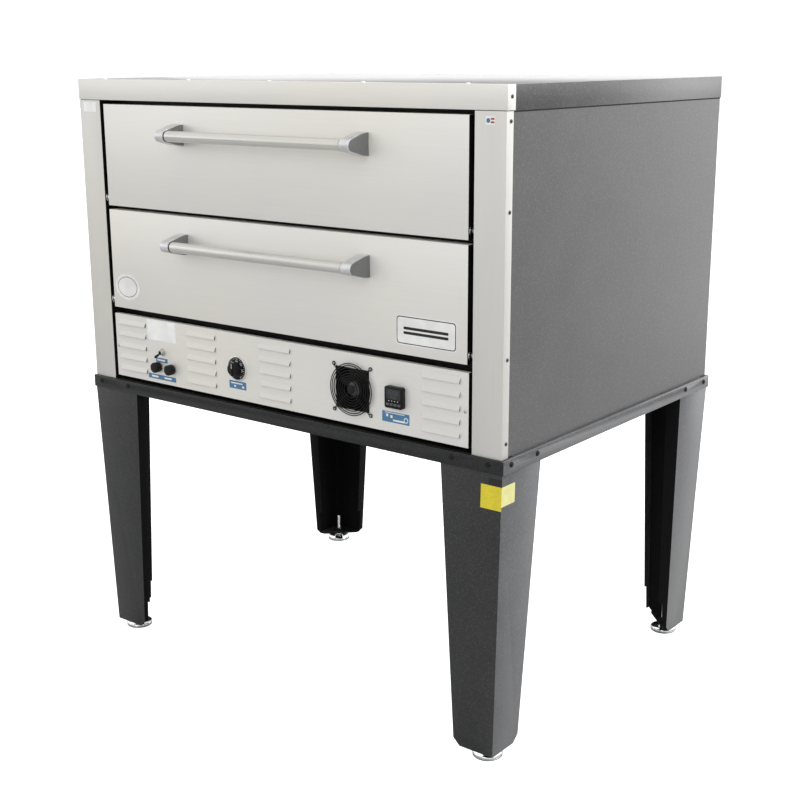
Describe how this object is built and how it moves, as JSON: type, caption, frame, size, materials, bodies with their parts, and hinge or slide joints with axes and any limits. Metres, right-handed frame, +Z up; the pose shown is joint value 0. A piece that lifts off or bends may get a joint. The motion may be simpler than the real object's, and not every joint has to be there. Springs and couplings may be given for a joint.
{
  "type": "deck pizza oven",
  "caption": "Deck pizza oven on an open leg stand, with pull-down doors on stacked hearth chambers over a louvred control panel.",
  "frame": {"origin": "on the floor under the middle of the oven and its stand", "axes": "+Z up, -Y towards the doors, +X to the right when facing the doors"},
  "size_m": [1.295, 1.0256, 1.4642],
  "materials": {
    "stainless": "satin",
    "grey_paint": "satin",
    "dark_paint": "satin",
    "black_enamel": "matte",
    "chrome": "polished",
    "aluminised_steel": "matte",
    "hearth": "matte",
    "mineral_wool": "matte",
    "element_steel": "satin",
    "black_plastic": "satin",
    "grey_plastic": "satin"
  },
  "bodies": {
    "oven_body": {"top_fascia": "stainless", "left_stile": "stainless", "right_stile": "stainless", "control_panel": "stainless", "top_cover": "grey_paint", "left_side_panel": "grey_paint", "right_side_panel": "grey_paint", "back_panel": "grey_paint", "bottom_panel": "grey_paint", "front_rail": "dark_paint", "back_rail": "dark_paint", "left_rail": "dark_paint", "right_rail": "dark_paint", "front_left_leg": "dark_paint", "front_right_leg": "dark_paint", "back_left_leg": "dark_paint", "back_right_leg": "dark_paint", "front_frame": "black_enamel", "fan_guard": "black_enamel", "chamber_liner": "aluminised_steel", "upper_deck": "hearth", "lower_deck": "hearth", "insulation_wrap": "mineral_wool", "upper_top_element": "element_steel", "upper_bottom_element": "element_steel", "lower_top_element": "element_steel", "lower_bottom_element": "element_steel", "upper_hinge_rod": "element_steel", "lower_hinge_rod": "element_steel", "switch_body": "element_steel", "fan_frame": "black_plastic", "controller_case": "black_plastic", "terminal_block": "black_plastic", "thermostat_body": "grey_plastic", "fuse_block": "grey_plastic"},
    "upper_door": {"upper_door_skin": "stainless", "upper_door_insulation": "mineral_wool", "upper_door_liner": "aluminised_steel", "upper_handle_bar": "stainless", "upper_handle_bracket_left": "stainless", "upper_handle_bracket_right": "stainless"},
    "lower_door": {"lower_door_skin": "stainless", "lower_door_insulation": "mineral_wool", "lower_door_liner": "aluminised_steel", "lower_handle_bar": "stainless", "lower_handle_bracket_left": "stainless", "lower_handle_bracket_right": "stainless"},
    "switch_lever_body": {"switch_lever": "black_plastic"},
    "left_fuse_cap": {"fuse_cap_left": "black_plastic"},
    "right_fuse_cap": {"fuse_cap_right": "black_plastic"},
    "thermostat_dial": {"thermostat_knob": "black_plastic"},
    "fan_impeller": {"fan_rotor": "black_plastic"},
    "button_1": {"controller_button_1": "grey_plastic"},
    "button_2": {"controller_button_2": "grey_plastic"},
    "button_3": {"controller_button_3": "grey_plastic"},
    "button_4": {"controller_button_4": "grey_plastic"},
    "front_left_levelling_foot": {"front_left_foot": "chrome"},
    "front_right_levelling_foot": {"front_right_foot": "chrome"},
    "back_left_levelling_foot": {"back_left_foot": "chrome"},
    "back_right_levelling_foot": {"back_right_foot": "chrome"}
  },
  "joints": [
    {"name": "upper_door_hinge", "type": "hinge", "parent": "oven_body", "child": "upper_door", "pos_m": [0, -0.43075, 1.1738], "axis": [1, 0, 0], "range_deg": [0, 90]},
    {"name": "lower_door_hinge", "type": "hinge", "parent": "oven_body", "child": "lower_door", "pos_m": [0, -0.43075, 0.9168], "axis": [1, 0, 0], "range_deg": [0, 90]},
    {"name": "power_switch", "type": "hinge", "parent": "oven_body", "child": "switch_lever_body", "pos_m": [-0.38, -0.44775, 0.801], "axis": [1, 0, 0], "range_deg": [-44, 0]},
    {"name": "left_fuse_turn", "type": "hinge", "parent": "oven_body", "child": "left_fuse_cap", "pos_m": [-0.3955, -0.45275, 0.762], "axis": [0, 1, 0], "range_deg": [-90, 0]},
    {"name": "right_fuse_turn", "type": "hinge", "parent": "oven_body", "child": "right_fuse_cap", "pos_m": [-0.3463, -0.45275, 0.762], "axis": [0, 1, 0], "range_deg": [-90, 0]},
    {"name": "thermostat_turn", "type": "hinge", "parent": "oven_body", "child": "thermostat_dial", "pos_m": [-0.118, -0.44875, 0.797], "axis": [0, 1, 0], "range_deg": [0, 300]},
    {"name": "fan_spin", "type": "hinge", "parent": "oven_body", "child": "fan_impeller", "pos_m": [0.2378, -0.42475, 0.8], "axis": [0, 1, 0], "continuous": true},
    {"name": "button_1_press", "type": "slide", "parent": "oven_body", "child": "button_1", "axis": [0, 1, 0], "range_m": [0, 0.0006], "stiffness_N_per_m": 400},
    {"name": "button_2_press", "type": "slide", "parent": "oven_body", "child": "button_2", "axis": [0, 1, 0], "range_m": [0, 0.0006], "stiffness_N_per_m": 400},
    {"name": "button_3_press", "type": "slide", "parent": "oven_body", "child": "button_3", "axis": [0, 1, 0], "range_m": [0, 0.0006], "stiffness_N_per_m": 400},
    {"name": "button_4_press", "type": "slide", "parent": "oven_body", "child": "button_4", "axis": [0, 1, 0], "range_m": [0, 0.0006], "stiffness_N_per_m": 400},
    {"name": "front_left_foot_height", "type": "slide", "parent": "oven_body", "child": "front_left_levelling_foot", "axis": [0, 0, 1], "range_m": [-0.025, 0]},
    {"name": "front_right_foot_height", "type": "slide", "parent": "oven_body", "child": "front_right_levelling_foot", "axis": [0, 0, 1], "range_m": [-0.025, 0]},
    {"name": "back_left_foot_height", "type": "slide", "parent": "oven_body", "child": "back_left_levelling_foot", "axis": [0, 0, 1], "range_m": [-0.025, 0]},
    {"name": "back_right_foot_height", "type": "slide", "parent": "oven_body", "child": "back_right_levelling_foot", "axis": [0, 0, 1], "range_m": [-0.025, 0]}
  ]
}
